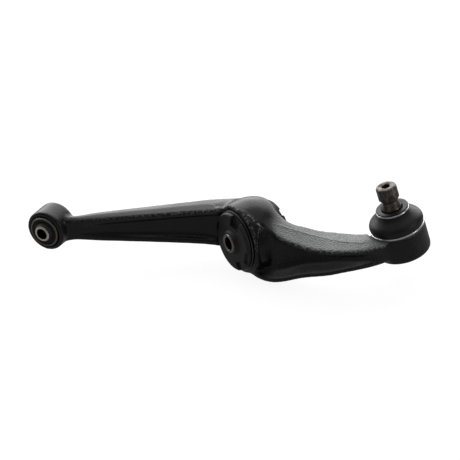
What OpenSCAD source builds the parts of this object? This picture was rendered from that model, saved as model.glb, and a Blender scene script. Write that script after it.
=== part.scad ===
// Suspension control arm: forged I-section arm with a small pivot bush at the inner end,
// a large angled stabiliser bush part way along and a ball joint at the outer end.
// Row frame, in millimetres: the origin is the centre of the inner bush, +Y is its axis
// pointing to the rear, +X points out towards the ball joint and +Z is up.

/* [Layout] */
// Outward distance from the inner bush to the ball centre
ball_x = 354; // [300:1:420]
// Rearward distance from the inner bush to the ball centre
ball_y = 130; // [90:1:160]
// Height of the ball centre over the bush axes
ball_z = 3; // [-10:1:15]
// Outward distance from the inner bush to the stabiliser bush
mid_x = 208.3; // [170:0.1:240]
// Rearward distance from the inner bush to the stabiliser bush
mid_y = 74.4; // [50:0.1:95]
// Angle between the two bush axes, seen from above
mid_turn = 30.5; // [0:0.5:45]

/* [Inner bush] */
// Outer diameter of the forged eye
eye_od = 45; // [42:1:56]
// Width of the forged eye along its axis
eye_width = 25; // [20:1:34]
// Outer diameter of the outer sleeve
inner_shell_od = 34; // [30:1:36]
// Outer diameter of the inner sleeve
inner_sleeve_od = 17.7; // [16:0.1:20]
// Bore of the inner sleeve, for the pivot bolt
inner_bore = 12; // [10:0.5:14]
// Length of the inner sleeve
inner_sleeve_len = 37.4; // [30:0.2:48]

/* [Stabiliser bush] */
// Outer diameter of the forged ring
ring_od = 81.5; // [76:0.5:100]
// How far the ring's outside sits above the bush axis
ring_rise = 1.5; // [0:0.25:3]
// Width of the forged ring along its axis
ring_width = 40; // [30:1:46]
// Outer diameter of the bush shell
mid_shell_od = 60; // [52:1:64]
// Diameter of the rubber end discs
mid_disc_od = 64; // [58:1:68]
// Distance over the two rubber discs
mid_disc_span = 54.8; // [46:0.2:64]
// Outer diameter of the bush sleeve
mid_sleeve_od = 21; // [18:0.5:25]
// Bore of the bush sleeve, for the stabiliser end
mid_bore = 14; // [12:0.5:16]
// Length of the bush sleeve
mid_sleeve_len = 64; // [54:1:78]

/* [Ball joint] */
// Inboard tilt of the stud
stud_tilt = 15.2; // [0:0.5:20]
// Direction in plan that the stud leans towards, measured from +X
lean_heading = 206; // [180:0.1:240]
// Outer diameter of the forged housing
housing_od = 58; // [54:0.2:70]
// Depth of the housing under the ball centre
housing_depth = 16.5; // [15:0.5:22]
// Diameter of the ball
ball_d = 25; // [22:0.5:27]
// Diameter of the stud's clamped end
stud_d = 22; // [18:0.5:24]
// Height of the stud's end over the ball centre
stud_top = 64; // [58:0.5:74]
// Height of the clamping groove over the ball centre
groove_h = 46; // [43:0.5:50]

/* [Arm section] */
// Width of the inner beam at the eye
beam_w_in = 12; // [10:0.5:18]
// Width of the inner beam at the ring
beam_w_out = 22; // [18:0.5:28]
// Height of the inner beam at the eye
beam_h_in = 24; // [20:0.5:30]
// Height of the inner beam at the ring
beam_h_out = 38; // [32:0.5:46]
// Width of the outer arm
outer_w = 42; // [34:0.5:50]
// Thickness of the flanges
flange_t = 6; // [4:0.25:9]
// Thickness of the web
web_t = 8; // [6:0.25:12]

/* [Hidden] */
$fn = 96;
run = 0.05;               // running clearance on a radius

ball = [ball_x, ball_y, ball_z];
mid = [mid_x, mid_y, 0];

function unit(v) = v / norm(v);
function turn_left(v) = [-v[1], v[0]];
function mix(a, b, t) = a + (b - a) * t;

// Catmull-Rom blend of a list of equal-length rows at position t (0 to len - 1)
function spline_at(rows, t) =
    let (n = len(rows), i = min(floor(t), n - 2), f = t - i,
         a = rows[max(i - 1, 0)], b = rows[i], c = rows[i + 1], d = rows[min(i + 2, n - 1)])
    0.5 * ((2 * b) + (c - a) * f + (2 * a - 5 * b + 4 * c - d) * f * f
        + (3 * b - a - 3 * c + d) * f * f * f);

// Closed I-section in (side, height): row = [x, y, front, back, top, bottom, pocket, toe]
// front and back are half widths, pocket runs 0 (plain bar) to 1 (full web),
// toe is how much further the bottom flange reaches to the front.
function i_section(row) =
    let (wf = row[2], wb = row[3], zt = row[4], zb = row[5], k = row[6], toe = row[7],
         c = 1.3, crown = 1.6,
         inf = mix(wf, web_t / 2, k), inb = mix(wb, web_t / 2, k),
         ft = flange_t, slope = 1.4)
    [[-wf - toe, zb + c], [-wf - toe, zb + ft], [-mix(wf, inf, 0.5) - toe / 2, zb + ft + slope / 2],
     [-inf, zb + ft + slope + 2], [-inf, zt - ft - slope - 2],
     [-mix(wf, inf, 0.5), zt - ft - slope / 2], [-wf, zt - ft], [-wf, zt - c],
     [-wf + c * 0.35, zt - c * 0.35], [-wf + c, zt], [0, zt + crown], [wb - c, zt],
     [wb - c * 0.35, zt - c * 0.35], [wb, zt - c],
     [wb, zt - ft], [mix(wb, inb, 0.5), zt - ft - slope / 2],
     [inb, zt - ft - slope - 2], [inb, zb + ft + slope + 2],
     [mix(wb, inb, 0.5), zb + ft + slope / 2], [wb, zb + ft], [wb, zb + c],
     [wb - c * 0.35, zb + c * 0.35], [wb - c, zb], [0, zb - crown], [-wf - toe + c, zb],
     [-wf - toe + c * 0.35, zb + c * 0.35]];

// Skin of I-sections along a plan path of rows
module i_bar(rows, steps) {
    n = steps * (len(rows) - 1);
    sec = [for (i = [0:n]) spline_at(rows, i / steps)];
    rings = [for (i = [0:n])
        let (a = sec[max(i - 1, 0)], b = sec[min(i + 1, n)],
             along = unit([b[0] - a[0], b[1] - a[1]]), left = turn_left(along))
        [for (q = i_section(sec[i])) [sec[i][0] + left[0] * q[0], sec[i][1] + left[1] * q[0], q[1]]]];
    m = len(rings[0]);
    polyhedron(
        points = [for (r = rings) each r],
        faces = concat(
            [for (j = [0:m / 2 - 2]) each [[j + 1, j, m - 1 - j], [j + 1, m - 1 - j, m - 2 - j]]],
            [for (i = [0:n - 1], j = [0:m - 1])
                let (a = i * m + j, b = i * m + (j + 1) % m) each
                [[a, b + m, a + m], [a, b, b + m]]],
            [for (j = [0:m / 2 - 2]) let (e = n * m) each
                [[e + j, e + j + 1, e + m - 1 - j], [e + j + 1, e + m - 2 - j, e + m - 1 - j]]]),
        convexity = 6);
}

// Places children on the inner bush axis, the stabiliser bush axis or the stud axis
module at_inner() rotate([90, 0, 0]) children();
module at_mid() translate(mid) rotate([0, 0, -mid_turn]) rotate([90, 0, 0]) children();
module at_ball() translate(ball) rotate([0, stud_tilt, lean_heading]) children();

module tube(ro, ri, z0, z1) {
    difference() {
        translate([0, 0, z0]) cylinder(r = ro, h = z1 - z0);
        translate([0, 0, z0 - 1]) cylinder(r = ri, h = z1 - z0 + 2);
    }
}

// Turned ring from a closed (radius, height) outline
module turned(outline) rotate_extrude() polygon(outline);

// ---------------------------------------------------------------- arm
mid_across = [cos(mid_turn), -sin(mid_turn)];
mid_back = [sin(mid_turn), cos(mid_turn)];
beam_end = [mid_x, mid_y] - 18 * mid_across + 14.5 * mid_back;
beam_dir = unit(beam_end - [10, 0]);
beam_len = norm(beam_end - [10, 0]);
function beam_row(d, off, wf, wb, zt, zb, k) =
    let (p = [10, 0] + beam_dir * d + turn_left(beam_dir) * off) [p[0], p[1], wf, wb, zt, -zb, k, 0];
wi = beam_w_in / 2;
wo = beam_w_out / 2;
ti = beam_h_in / 2;
to = beam_h_out / 2;
inner_rows = [
    beam_row(4, 0, wi + 1, wi + 1, ti + 2, ti + 2, 0),
    beam_row(18, 0, wi, wi, ti, ti, 0.3),
    beam_row(beam_len * 0.21, 0.5, mix(wi, wo, 0.3), mix(wi, wo, 0.5),
        mix(ti, to, 0.35), mix(ti, to, 0.2), 0.9),
    beam_row(beam_len * 0.46, 1, mix(wi, wo, 0.7), wo, mix(ti, to, 0.76) + 1.3, mix(ti, to, 0.5), 1),
    beam_row(beam_len * 0.70, 0.8, wo, wo + 2, to + 4, to - 1, 1),
    beam_row(beam_len * 0.80, 0.6, wo + 1, wo + 3.5, to + 5.4, to + 1, 0.6),
    beam_row(beam_len * 0.89, 0, wo + 2, wo + 1.5, to + 8.7, to + 4, 0.1),
    beam_row(beam_len, 0, wo + 3, wo - 3, to + 12, to + 6, 0)];

span = [ball_x - mid_x, ball_y - mid_y];
side = turn_left(unit(span));
function outer_row(f, off, wf, wb, zt, zb, k, toe) =
    let (p = [mid_x, mid_y] + span * f + side * off) [p[0], p[1], wf, wb, zt, zb, k, toe];
hw = outer_w / 2;
outer_rows = [
    outer_row(0.08, -3.8, hw - 4, hw - 8, 34, -35, 0, 6),
    outer_row(0.17, -15.7, hw - 5, hw - 8, 28.5, -33, 0.05, 11),
    outer_row(0.26, -22.2, hw + 1, hw - 9, 23.5, -28.5, 0.35, 6.5),
    outer_row(0.38, -28.1, hw + 1, hw - 6, 18.5, -21.5, 0.7, 2),
    outer_row(0.487, -31.7, hw, hw - 2.5, 15.5, -17.5, 0.8, 0),
    outer_row(0.579, -30.8, hw - 1, hw - 1.5, 13.5, -15, 0.75, 0),
    outer_row(0.736, -27.7, hw - 4, hw - 4, 12, -11.7, 0.3, 0),
    outer_row(0.88, -19, hw - 9, hw - 6, 11.5, -11, 0, 0),
    outer_row(1.0, 0, hw - 15, hw - 13, 11, -10, 0, 0)];

ring_r = ring_od / 2;
ring_h = ring_width / 2;
eye_r = eye_od / 2;
eye_h = eye_width / 2;
eye_rear = eye_h + 3;     // the eye's boss reaches further on the rear side
house_r = housing_od / 2;
house_top = 13.5;
seat_r = ball_d / 2 + 5.5;
cover_z = -housing_depth + 2;

module arm_solid() {
    at_inner() turned([[4, -eye_rear], [eye_r - 2.6, -eye_rear], [eye_r - 0.7, -eye_rear + 0.8],
        [eye_r, -eye_rear + 2.6], [eye_r, eye_h - 1.4], [eye_r - 0.4, eye_h - 0.4], [eye_r - 1.4, eye_h],
        [4, eye_h]]);
    i_bar(inner_rows, 5);
    translate([0, 0, ring_rise]) at_mid() turned([[8, -ring_h], [ring_r - 6.5, -ring_h],
        [ring_r - 4.5, -ring_h * 0.94], [ring_r - 2, -ring_h * 0.6], [ring_r - 0.4, -ring_h * 0.2],
        [ring_r, ring_h * 0.1], [ring_r - 0.6, ring_h * 0.4], [ring_r - 2, ring_h * 0.75],
        [ring_r - 3.2, ring_h - 0.8], [ring_r - 4.4, ring_h], [8, ring_h]]);
    difference() {
        i_bar(outer_rows, 5);
        at_ball() translate([0, 0, house_top - 6]) cylinder(r = house_r + 3.2, h = 40);
    }
    at_ball() turned([[0, -housing_depth], [house_r - 2, -housing_depth], [house_r - 0.4, -housing_depth + 1.2],
        [house_r, -housing_depth + 3], [house_r, house_top - 1], [house_r - 0.8, house_top],
        [house_r - 3.6, house_top], [house_r - 3.6, house_top + 3.5], [0, house_top + 3.5]]);
}

module arm_forging() color([0.10, 0.10, 0.11]) difference() {
    arm_solid();
    at_inner() {
        translate([0, 0, -eye_h - 30]) cylinder(d = inner_shell_od, h = eye_width + 60);
        for (s = [0, 1]) mirror([0, 0, s]) translate([0, 0, (s == 0 ? eye_h : eye_rear) - 1.6])
            cylinder(r1 = inner_shell_od / 2, r2 = inner_shell_od / 2 + 4, h = 4);
    }
    at_mid() {
        translate([0, 0, -60]) cylinder(d = mid_shell_od, h = 120);
        for (s = [0, 1]) mirror([0, 0, s]) translate([0, 0, ring_h]) cylinder(r = mid_disc_od / 2 + 3, h = 34);
    }
    at_ball() {
        translate([0, 0, cover_z]) cylinder(r = seat_r, h = 9.5 - cover_z);
        translate([0, 0, -housing_depth - 1]) cylinder(r = seat_r - 2.5, h = 6);
        translate([0, 0, 9]) cylinder(r1 = 13.2, r2 = 14.4, h = 2.5);
        translate([0, 0, 11.4]) cylinder(r1 = 14.3, r2 = 21, h = house_top + 3.6 - 11.4);
    }
}

// ---------------------------------------------------------------- inner bush
inner_shell_r = inner_shell_od / 2;
inner_shell_len = eye_width + 4;
module inner_outer_sleeve() color([0.55, 0.52, 0.46]) at_inner()
    tube(inner_shell_r, inner_shell_r - 2, -inner_shell_len / 2, inner_shell_len / 2);

module inner_rubber() color([0.07, 0.07, 0.07]) at_inner() {
    ri = inner_sleeve_od / 2 + run;
    ro = inner_shell_r - 2;
    h = inner_shell_len / 2 - 1;
    turned([[ri, -h - 1], [ri + 1.2, -h - 0.6], [mix(ri, ro, 0.5), -h + 1.6], [ro - 0.8, -h],
        [ro, -h], [ro, h], [ro - 0.8, h], [mix(ri, ro, 0.5), h - 1.6], [ri + 1.2, h + 0.6], [ri, h + 1]]);
}

module inner_sleeve() color([0.72, 0.68, 0.58]) at_inner() {
    ro = inner_sleeve_od / 2;
    h = inner_sleeve_len / 2;
    difference() {
        turned([[2, -h], [ro - 0.6, -h], [ro, -h + 0.6], [ro, h - 0.6], [ro - 0.6, h], [2, h]]);
        translate([0, 0, -h - 1]) cylinder(d = inner_bore, h = 2 * h + 2);
    }
}

// ---------------------------------------------------------------- stabiliser bush
mid_shell_r = mid_shell_od / 2;
disc_r = mid_disc_od / 2;
disc_z = mid_disc_span / 2;
mid_sleeve_r = mid_sleeve_od / 2;

module stabiliser_shell() color([0.35, 0.35, 0.35]) at_mid() {
    tube(mid_shell_r, mid_shell_r - 2, -ring_h - 0.5, ring_h + 0.5);
    for (s = [0, 1]) mirror([0, 0, s])
        tube(disc_r + 1.2, mid_shell_r - 2, ring_h + 0.5, ring_h + 2);
}

// Moulded notches in each disc's rim: [angle, inner radius, width, depth]
disc_notches = [[76, 18, 15, 4.5], [-14, 26, 15, 4], [-60, 22, 9, 3], [166, 27, 15, 3]];
module bush_half() {
    ri = mid_sleeve_r + run;
    ro = mid_shell_r - 2;
    z1 = ring_h + 2;
    difference() {
        turned([[ri, 0.2], [ro, 0.2], [ro, z1], [disc_r - 0.6, z1], [disc_r, z1 + 0.8],
            [disc_r, disc_z - 2.2], [disc_r - 1, disc_z - 0.6], [disc_r - 3, disc_z],
            [ri + 3.4, disc_z], [ri + 2.4, disc_z - 0.5], [ri + 1.6, disc_z - 2], [ri, disc_z - 2]]);
        for (n = disc_notches) rotate([0, 0, n[0]]) translate([n[1], -n[2] / 2, disc_z - n[3]])
            cube([disc_r, n[2], 8]);
    }
}
module stabiliser_front_rubber() color([0.09, 0.09, 0.09]) at_mid() bush_half();
module stabiliser_rear_rubber() color([0.09, 0.09, 0.09]) at_mid() rotate([180, 0, 0]) bush_half();

module stabiliser_sleeve() color([0.70, 0.67, 0.60]) at_mid() {
    h = mid_sleeve_len / 2;
    difference() {
        turned([[2, -h], [mid_sleeve_r - 0.7, -h], [mid_sleeve_r, -h + 0.7], [mid_sleeve_r, h - 0.7],
            [mid_sleeve_r - 0.7, h], [2, h]]);
        translate([0, 0, -h - 1]) cylinder(d = mid_bore, h = 2 * h + 2);
    }
}

// ---------------------------------------------------------------- ball joint
ball_r = ball_d / 2;
stud_r = stud_d / 2;
neck_r = 7;

module ball_stud() color([0.30, 0.27, 0.24]) at_ball() difference() {
    union() {
        sphere(r = ball_r, $fn = 96);
        turned([[0, ball_r * 0.6], [neck_r, ball_r * 0.6], [neck_r, 16], [neck_r + 0.8, 20],
            [stud_r - 0.3, 37.5], [stud_r - 0.3, 39], [8.6, groove_h - 1.6], [8.2, groove_h],
            [8.6, groove_h + 1.6], [stud_r, groove_h + 3.4], [stud_r, stud_top - 1.4],
            [stud_r - 1.6, stud_top], [0, stud_top]]);
    }
    translate([0, 0, -ball_r - 1]) cylinder(r = 7, h = 2.2);
    translate([0, 0, stud_top - 5]) cylinder(r = 4.6, h = 6, $fn = 6);
}

module ball_seat_upper() color([0.85, 0.83, 0.76]) at_ball() difference() {
    translate([0, 0, 0.2]) cylinder(r = seat_r - run, h = 9.2);
    sphere(r = ball_r + run, $fn = 96);
    translate([0, 0, 5.6]) cylinder(r1 = 11.8, r2 = 15.2, h = 4);
}
module ball_seat_lower() color([0.85, 0.83, 0.76]) at_ball() difference() {
    tube(seat_r - run, 6, -ball_r + 3.2, -0.2);
    sphere(r = ball_r + run, $fn = 96);
}
module preload_washer() color([0.60, 0.60, 0.62]) at_ball()
    turned([[9, cover_z + 3.4], [seat_r - 1, cover_z + 2], [seat_r - 1, cover_z + 3], [9, cover_z + 4.4]]);
module housing_cover() color([0.45, 0.45, 0.46]) at_ball()
    turned([[0, cover_z], [seat_r - run, cover_z], [seat_r - run, cover_z + 1.8], [0, cover_z + 1.8]]);

module dust_boot() color([0.06, 0.06, 0.06]) at_ball() {
    b = house_r - 3.6 + run;
    turned([[b, house_top + 0.1], [b + 3, house_top + 0.1], [b + 3, house_top + 3.2], [house_r - 0.6, 17.6],
        [house_r - 0.6, 19.4], [house_r - 1.6, 22.4], [house_r - 4.2, 26], [house_r - 8, 29.6], [19.6, 32],
        [17.6, 34.2], [16.6, 34.8], [16.6, 36.5], [17, 37.2], [16.2, 38], [stud_r + 0.2, 37.4],
        [stud_r + 0.2, 34.4], [14.6, 33.6], [17.6, 30.6], [house_r - 9.6, 27.6], [house_r - 6, 24.4],
        [house_r - 3.4, 21], [house_r - 2.8, 18.4], [b, 17.4]]);
}
module boot_lower_ring() color([0.80, 0.80, 0.80]) at_ball()
    turned([[house_r - 0.55, house_top + 1], [house_r + 0.6, house_top + 1.1], [house_r + 0.9, house_top + 1.8],
        [house_r + 0.6, house_top + 2.5], [house_r - 0.55, house_top + 2.6]]);
module boot_upper_ring() color([0.80, 0.80, 0.80]) at_ball()
    turned([[16.65, 34.9], [17.7, 34.9], [18, 35.6], [17.7, 36.3], [16.65, 36.3]]);

arm_forging();
inner_outer_sleeve();
inner_rubber();
inner_sleeve();
stabiliser_shell();
stabiliser_front_rubber();
stabiliser_rear_rubber();
stabiliser_sleeve();
ball_stud();
ball_seat_upper();
ball_seat_lower();
preload_washer();
housing_cover();
dust_boot();
boot_lower_ring();
boot_upper_ring();
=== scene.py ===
"""Looks for a forged suspension control arm: the arm, its two bushes and its ball joint.

Everything is in metres in the row frame: the origin is the centre of the inner bush, +Y is
that bush's axis, +X points out to the ball joint and +Z is up.
"""

import logging
import math
from dataclasses import dataclass, field
from enum import Enum
from typing import Optional, Sequence

import bpy
import numpy as np
from mathutils import Matrix, Vector, noise


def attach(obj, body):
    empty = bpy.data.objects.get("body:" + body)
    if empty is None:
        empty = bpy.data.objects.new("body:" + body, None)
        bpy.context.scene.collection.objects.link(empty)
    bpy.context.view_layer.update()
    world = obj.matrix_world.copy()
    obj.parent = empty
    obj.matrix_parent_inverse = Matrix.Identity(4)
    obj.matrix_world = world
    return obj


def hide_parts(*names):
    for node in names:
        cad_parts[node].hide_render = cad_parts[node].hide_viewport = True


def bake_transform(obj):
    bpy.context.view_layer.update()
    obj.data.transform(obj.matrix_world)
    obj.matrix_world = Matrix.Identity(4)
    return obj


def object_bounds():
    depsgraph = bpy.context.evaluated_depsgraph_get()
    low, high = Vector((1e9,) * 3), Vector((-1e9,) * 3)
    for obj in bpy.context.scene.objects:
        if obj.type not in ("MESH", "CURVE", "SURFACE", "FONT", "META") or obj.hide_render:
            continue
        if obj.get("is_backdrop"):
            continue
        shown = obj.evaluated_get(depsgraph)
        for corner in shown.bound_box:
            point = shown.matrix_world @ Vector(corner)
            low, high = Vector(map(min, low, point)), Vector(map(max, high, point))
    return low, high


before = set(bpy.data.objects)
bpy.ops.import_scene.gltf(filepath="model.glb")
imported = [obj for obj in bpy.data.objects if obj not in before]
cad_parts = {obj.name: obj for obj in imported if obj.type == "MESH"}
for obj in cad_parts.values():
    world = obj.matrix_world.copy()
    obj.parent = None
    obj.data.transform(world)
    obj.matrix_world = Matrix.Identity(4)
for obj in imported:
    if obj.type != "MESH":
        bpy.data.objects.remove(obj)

logging.basicConfig(level=logging.INFO, format="%(message)s")
LOG = logging.getLogger("control_arm")

MM = 0.001
Outline = list[tuple[float, float]]


# ------------------------------------------------------------------ frame and axes


class Body(Enum):
    """The moving bodies that pieces ride on."""

    ARM = "arm"
    INNER_PIVOT = "inner_pivot"
    STABILISER_PIVOT = "stabiliser_pivot"
    BOOT = "boot"
    BOOT_COLLAR = "boot_collar"
    STUD = "stud"


class Slot(Enum):
    """The record's material slots."""

    BLACK_PAINT = "black_paint"
    SLEEVE_STEEL = "sleeve_steel"
    SHELL_STEEL = "shell_steel"
    BUSH_RUBBER = "bush_rubber"
    STUD_STEEL = "stud_steel"
    BOOT_RUBBER = "boot_rubber"
    BRIGHT_RING = "bright_ring"


@dataclass(frozen=True)
class Axis:
    """A turning axis in the row frame.

    Attributes:
        origin: A point on the axis, in metres.
        along: The axis direction, which a turned piece's local +Z follows.
        side: A direction across the axis, which local +X follows.
    """

    origin: tuple[float, float, float]
    along: tuple[float, float, float]
    side: tuple[float, float, float]

    def matrix(self) -> Matrix:
        """The matrix that takes local millimetres to the row frame in metres."""
        z = Vector(self.along).normalized()
        x = (Vector(self.side) - z * z.dot(Vector(self.side))).normalized()
        y = z.cross(x)
        turn = Matrix((x, y, z)).transposed().to_4x4()
        return Matrix.Translation(Vector(self.origin)) @ turn @ Matrix.Scale(MM, 4)


MID_TURN = math.radians(30.5)
LEAN = math.radians(15.2)
HEADING = math.radians(206.0)
INNER_AXIS = Axis((0.0, 0.0, 0.0), (0.0, -1.0, 0.0), (1.0, 0.0, 0.0))
MID_AXIS = Axis(
    (0.2083, 0.0744, 0.0),
    (-math.sin(MID_TURN), -math.cos(MID_TURN), 0.0),
    (math.cos(MID_TURN), -math.sin(MID_TURN), 0.0),
)
BALL_AXIS = Axis(
    (0.354, 0.130, 0.003),
    (math.sin(LEAN) * math.cos(HEADING), math.sin(LEAN) * math.sin(HEADING), math.cos(LEAN)),
    (math.cos(LEAN) * math.cos(HEADING), math.cos(LEAN) * math.sin(HEADING), -math.sin(LEAN)),
)


# ------------------------------------------------------------------ workbench


class Bench:
    """Modelling steps that the sub-assemblies share."""

    @staticmethod
    def clear() -> None:
        """Leaves nothing selected, in object mode."""
        if bpy.context.mode != "OBJECT":
            bpy.ops.object.mode_set(mode="OBJECT")
        bpy.ops.object.select_all(action="DESELECT")

    @staticmethod
    def pick(piece: bpy.types.Object) -> None:
        """Makes one piece the only selected and active object."""
        Bench.clear()
        piece.select_set(True)
        bpy.context.view_layer.objects.active = piece

    @staticmethod
    def turn(name: str, outline: Outline, axis: Axis, steps: int = 128) -> bpy.types.Object:
        """Turns an outline round an axis, as on a lathe.

        Args:
            name: The new object's name.
            outline: (radius, height) points in millimetres. It runs closed unless it starts
                and ends on the axis.
            axis: The axis it is turned about.
            steps: How many steps the full turn has.

        Returns:
            The turned piece, in place, with its object at the origin.
        """
        Bench.clear()
        bpy.ops.mesh.primitive_plane_add(size=1.0, location=(0.0, 0.0, 0.0))
        piece = bpy.context.object
        piece.name = name
        piece.data.name = name
        bpy.ops.object.mode_set(mode="EDIT")
        bpy.ops.mesh.select_all(action="SELECT")
        bpy.ops.mesh.merge(type="CENTER")
        bpy.ops.mesh.select_mode(type="VERT")
        bpy.ops.mesh.select_all(action="SELECT")
        r0, h0 = outline[0]
        bpy.ops.transform.translate(value=(r0, 0.0, h0))
        open_ended = outline[0][0] == 0.0 and outline[-1][0] == 0.0
        path = outline[1:] if open_ended else outline[1:] + [outline[0]]
        was = outline[0]
        for r, h in path:
            step = (r - was[0], 0.0, h - was[1])
            bpy.ops.mesh.extrude_region_move(TRANSFORM_OT_translate={"value": step})
            was = (r, h)
        bpy.ops.mesh.select_all(action="SELECT")
        bpy.ops.mesh.remove_doubles(threshold=1e-4)
        bpy.ops.mesh.select_all(action="SELECT")
        bpy.ops.mesh.spin(
            steps=steps, angle=2.0 * math.pi, center=(0.0, 0.0, 0.0), axis=(0.0, 0.0, 1.0)
        )
        bpy.ops.mesh.select_all(action="SELECT")
        bpy.ops.mesh.remove_doubles(threshold=1e-4)
        bpy.ops.mesh.normals_make_consistent(inside=False)
        bpy.ops.object.mode_set(mode="OBJECT")
        piece.data.transform(axis.matrix())
        return piece

    @staticmethod
    def modify(piece: bpy.types.Object, kind: str, **values: object) -> None:
        """Adds one modifier with these values and applies it.

        Args:
            piece: The piece to change.
            kind: The modifier's type name.
            **values: Its settings.
        """
        modifier = piece.modifiers.new(kind.lower(), kind)
        for key, value in values.items():
            setattr(modifier, key, value)
        Bench.pick(piece)
        bpy.ops.object.modifier_apply(modifier=modifier.name)

    @staticmethod
    def round_edges(piece: bpy.types.Object, width: float, segments: int = 2) -> None:
        """Rounds a piece's sharp edges by a width in millimetres."""
        Bench.modify(
            piece,
            "BEVEL",
            width=width * MM,
            segments=segments,
            limit_method="ANGLE",
            angle_limit=math.radians(28.0),
            use_clamp_overlap=True,
        )

    @staticmethod
    def cut(piece: bpy.types.Object, *tools: bpy.types.Object) -> None:
        """Takes tools' shapes out of a piece and removes the tools."""
        for tool in tools:
            Bench.modify(piece, "BOOLEAN", operation="DIFFERENCE", solver="EXACT", object=tool)
            bpy.data.objects.remove(tool)

    @staticmethod
    def weld_copy(node: str, name: str) -> bpy.types.Object:
        """A merged copy of a CAD node's mesh, as a new piece."""
        piece = bpy.data.objects.new(name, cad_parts[node].data.copy())
        piece.data.name = name
        piece.data.materials.clear()
        bpy.context.scene.collection.objects.link(piece)
        Bench.pick(piece)
        bpy.ops.object.mode_set(mode="EDIT")
        bpy.ops.mesh.select_all(action="SELECT")
        bpy.ops.mesh.remove_doubles(threshold=2e-6)
        bpy.ops.object.mode_set(mode="OBJECT")
        return piece

    @staticmethod
    def join(piece: bpy.types.Object, *others: bpy.types.Object) -> None:
        """Joins other pieces' meshes into a piece."""
        Bench.pick(piece)
        for other in others:
            other.select_set(True)
        bpy.ops.object.join()

    @staticmethod
    def skin(piece: bpy.types.Object, voxel: float) -> None:
        """Gives a piece one even skin of cells of a size in millimetres."""
        Bench.modify(piece, "REMESH", mode="VOXEL", voxel_size=voxel * MM, use_smooth_shade=True)

    @staticmethod
    def points(piece: bpy.types.Object) -> tuple[np.ndarray, np.ndarray]:
        """The places and the normals of a piece's points, one row for each."""
        mesh = piece.data
        spots = np.zeros(len(mesh.vertices) * 3, np.float32)
        turns = np.zeros(len(mesh.vertices) * 3, np.float32)
        mesh.vertices.foreach_get("co", spots)
        mesh.vertex_normals.foreach_get("vector", turns)
        return spots.reshape(-1, 3), turns.reshape(-1, 3)

    @staticmethod
    def swell(piece: bpy.types.Object, distance: float) -> None:
        """Moves a skin out along its normals, by millimetres, or in if they are negative."""
        spots, turns = Bench.points(piece)
        moved = spots + turns * (distance * MM)
        piece.data.vertices.foreach_set("co", moved.astype(np.float32).ravel())
        piece.data.update()

    @staticmethod
    def smooth_shade(piece: bpy.types.Object, angle: float = 35.0) -> None:
        """Shades a piece smooth, apart from edges sharper than an angle in degrees."""
        Bench.pick(piece)
        bpy.ops.object.shade_smooth_by_angle(angle=math.radians(angle))

    @staticmethod
    def finish(
        piece: bpy.types.Object,
        material: bpy.types.Material,
        slot: Slot,
        body: Optional[Body],
        *nodes: str,
    ) -> bpy.types.Object:
        """Dresses a finished piece, ties it to its body and hides the CAD nodes it stands for.

        Args:
            piece: The finished piece.
            material: Its material.
            slot: The record's slot it stands for; not used.
            body: The body it rides on, or None to leave it unattached.
            *nodes: The CAD nodes it stands for.

        Returns:
            The piece.
        """
        piece.data.materials.clear()
        piece.data.materials.append(material)
        if body is not None:
            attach(piece, body.value)
        if nodes:
            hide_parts(*nodes)
        LOG.info("%s: %d faces, for %s", piece.name, len(piece.data.polygons), ", ".join(nodes) or "itself")
        return piece


# ------------------------------------------------------------------ finishes


class NodeSheet:
    """A small helper that lays out one node tree."""

    def __init__(self, tree: bpy.types.NodeTree) -> None:
        """Keeps the tree that nodes are added to."""
        self.tree = tree

    def add(self, kind: str, **values: object) -> bpy.types.Node:
        """Adds a node, sets its properties and its plain inputs.

        Args:
            kind: The node's type name.
            **values: Properties by name, or inputs by name with _ for spaces.

        Returns:
            The node.
        """
        node = self.tree.nodes.new(kind)
        for key, value in values.items():
            if hasattr(node, key) and key not in node.inputs:
                setattr(node, key, value)
            else:
                node.inputs[key.replace("_", " ")].default_value = value
        return node

    def link(self, source: bpy.types.NodeSocket, target: bpy.types.NodeSocket) -> None:
        """Joins two sockets."""
        self.tree.links.new(source, target)

    def maths(self, operation: str, a: object, b: object = None, clamp: bool = False) -> bpy.types.NodeSocket:
        """A Math node on sockets or plain numbers, and its output."""
        node = self.tree.nodes.new("ShaderNodeMath")
        node.operation = operation
        node.use_clamp = clamp
        for socket, value in zip(node.inputs, (a, b)):
            if value is None:
                continue
            if isinstance(value, bpy.types.NodeSocket):
                self.link(value, socket)
            else:
                socket.default_value = value
        return node.outputs[0]

    def ramp(self, source: bpy.types.NodeSocket, low: float, high: float,
             out_low: float = 0.0, out_high: float = 1.0) -> bpy.types.NodeSocket:
        """A smooth map of a value from one range to another, and its output."""
        node = self.tree.nodes.new("ShaderNodeMapRange")
        node.interpolation_type = "SMOOTHSTEP"
        node.clamp = True
        self.link(source, node.inputs["Value"])
        for name, value in (("From Min", low), ("From Max", high), ("To Min", out_low), ("To Max", out_high)):
            node.inputs[name].default_value = value
        return node.outputs["Result"]

    def noise(self, vector: bpy.types.NodeSocket, scale: float, detail: float = 4.0,
              rough: float = 0.55) -> bpy.types.NodeSocket:
        """A 3D noise on a vector, and its value output."""
        node = self.tree.nodes.new("ShaderNodeTexNoise")
        self.link(vector, node.inputs["Vector"])
        node.inputs["Scale"].default_value = scale
        node.inputs["Detail"].default_value = detail
        node.inputs["Roughness"].default_value = rough
        return node.outputs["Fac"]

    def mix_colour(self, factor: bpy.types.NodeSocket, a: object, b: object) -> bpy.types.NodeSocket:
        """A colour mix of sockets or plain colours, and its output."""
        node = self.tree.nodes.new("ShaderNodeMix")
        node.data_type = "RGBA"
        self.link(factor, node.inputs[0])
        for socket, value in ((node.inputs[6], a), (node.inputs[7], b)):
            if isinstance(value, bpy.types.NodeSocket):
                self.link(value, socket)
            else:
                socket.default_value = (*value, 1.0)
        return node.outputs[2]


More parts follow.
